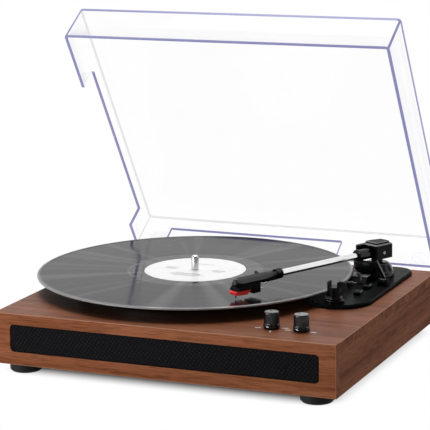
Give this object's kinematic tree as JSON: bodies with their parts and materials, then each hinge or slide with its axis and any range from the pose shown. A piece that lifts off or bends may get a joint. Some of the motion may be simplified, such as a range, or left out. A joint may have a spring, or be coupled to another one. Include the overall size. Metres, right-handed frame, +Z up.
{
  "type": "turntable record player",
  "caption": "Belt-drive record player in a wood-veneer plinth with straight tone arm, record on the platter, two control knobs, front speaker cloth and an open hinged clear dust cover.",
  "frame": {"origin": "middle of the player's footprint with its cover open, on the surface it stands on", "axes": "+X to the player's right, -Y its front, +Z up along the spindle"},
  "size_m": [0.3522, 0.3318, 0.3147],
  "materials": {
    "walnut_veneer": "satin",
    "raw_board": "matte",
    "black_rubber": "matte",
    "zinc_screw": "satin",
    "black_plastic": "satin",
    "satin_black": "gloss",
    "speaker_cloth": "matte",
    "black_steel": "satin",
    "paper_cone": "matte",
    "bearing_brass": "satin",
    "bearing_steel": "satin",
    "chrome_steel": "polished",
    "circuit_board": "satin",
    "nylon": "satin",
    "socket_black": "gloss",
    "platter_alloy": "satin",
    "felt_mat": "matte",
    "vinyl": "gloss",
    "label_paper": "matte",
    "red_plastic": "gloss",
    "clear_acrylic": "gloss"
  },
  "bodies": {
    "plinth": {"front_board": "walnut_veneer", "top_board": "walnut_veneer", "left_board": "walnut_veneer", "right_board": "walnut_veneer", "back_board": "walnut_veneer", "base_board": "raw_board", "corner_blocks": "raw_board", "feet": "black_rubber", "foot_screws": "zinc_screw", "speaker_baffle": "black_plastic", "grille_cloth": "speaker_cloth", "speaker_frames": "black_steel", "speaker_cones": "paper_cone", "deck_plate": "black_plastic", "deck_screws": "zinc_screw", "bearing_housing": "bearing_steel", "bearing_bush": "bearing_brass", "motor_can": "zinc_screw", "drive_belt": "black_rubber", "amplifier_board": "circuit_board", "board_standoffs": "nylon", "pot_bodies": "bearing_steel", "jack_panel": "black_plastic", "rca_jacks": "chrome_steel", "power_jack": "socket_black", "aux_jack": "socket_black", "arm_tower": "black_plastic", "arm_bush": "bearing_brass", "lift_housing": "black_plastic", "lever_bracket": "black_plastic", "arm_rest": "black_plastic", "hinge_bases": "black_plastic", "hinge_pins": "zinc_screw", "switch_bodies": "black_plastic"},
    "platter": {"platter": "platter_alloy", "spindle": "chrome_steel", "slip_mat": "felt_mat", "record": "vinyl", "record_label": "label_paper"},
    "motor_rotor": {"motor_shaft": "bearing_steel", "motor_pulley": "bearing_brass"},
    "arm_carriage": {"arm_housing": "black_plastic", "housing_cap": "black_plastic", "arm_shaft": "bearing_steel", "gimbal_pins": "bearing_steel"},
    "tonearm": {"arm_sleeve": "black_plastic", "arm_tube": "chrome_steel", "headshell": "black_plastic", "cartridge": "satin_black", "stylus": "red_plastic"},
    "cue_lift": {"lift_rail": "black_plastic"},
    "cue_lever": {"cue_lever": "satin_black"},
    "dust_cover": {"dust_cover": "clear_acrylic", "hinge_leaves": "clear_acrylic"},
    "selector_knob": {"selector_knob": "satin_black"},
    "volume_knob": {"volume_knob": "satin_black"},
    "speed_switch": {"speed_switch": "black_plastic"},
    "auto_stop_switch": {"auto_stop_switch": "black_plastic"},
    "rest_clip": {"rest_clip": "black_plastic"}
  },
  "joints": [
    {"name": "platter_spin", "type": "hinge", "parent": "plinth", "child": "platter", "pos_m": [-0.02535, -0.00266, 0.0698], "axis": [0, 0, 1], "continuous": true},
    {"name": "pulley_spin", "type": "hinge", "parent": "plinth", "child": "motor_rotor", "pos_m": [-0.06807, 0.07769, 0.0577], "axis": [0, 0, 1], "continuous": true},
    {"name": "arm_swing", "type": "hinge", "parent": "plinth", "child": "arm_carriage", "pos_m": [0.1336, 0.06794, 0.0845], "axis": [0, 0, 1], "range_deg": [-22.6, 23.7]},
    {"name": "arm_tilt", "type": "hinge", "parent": "arm_carriage", "child": "tonearm", "pos_m": [0.1336, 0.06794, 0.0845], "axis": [-0.9047, 0.4261, 0], "range_deg": [0, 1.5]},
    {"name": "lift_slide", "type": "slide", "parent": "plinth", "child": "cue_lift", "axis": [0, 0, 1], "range_m": [0, 0.00055]},
    {"name": "lever_turn", "type": "hinge", "parent": "plinth", "child": "cue_lever", "pos_m": [0.15195, 0.03314, 0.064], "axis": [1, 0, 0], "range_deg": [0, 45.5]},
    {"name": "lid_hinge", "type": "hinge", "parent": "plinth", "child": "dust_cover", "pos_m": [0.01115, 0.12564, 0.0476], "axis": [1, 0, 0], "range_deg": [0, 57.8]},
    {"name": "selector_turn", "type": "hinge", "parent": "plinth", "child": "selector_knob", "pos_m": [0.10415, -0.13166, 0.056], "axis": [0, 0, 1], "range_deg": [-60, 60]},
    {"name": "volume_turn", "type": "hinge", "parent": "plinth", "child": "volume_knob", "pos_m": [0.13195, -0.13166, 0.056], "axis": [0, 0, 1], "range_deg": [-150, 150]},
    {"name": "speed_slide", "type": "slide", "parent": "plinth", "child": "speed_switch", "axis": [0, 1, 0], "range_m": [0, 0.006]},
    {"name": "auto_stop_slide", "type": "slide", "parent": "plinth", "child": "auto_stop_switch", "axis": [0, 1, 0], "range_m": [-0.006, 0]},
    {"name": "clip_turn", "type": "hinge", "parent": "plinth", "child": "rest_clip", "pos_m": [0.1397, -0.04436, 0.078], "axis": [0.0258, 0.9997, 0], "range_deg": [-110, 0]}
  ],
  "couplings": [
    {"joint": "pulley_spin", "follows": "platter_spin", "ratio": 18},
    {"joint": "lift_slide", "follows": "arm_tilt", "m_per_rad": 0.0204},
    {"joint": "lever_turn", "follows": "arm_tilt", "ratio": 30}
  ]
}
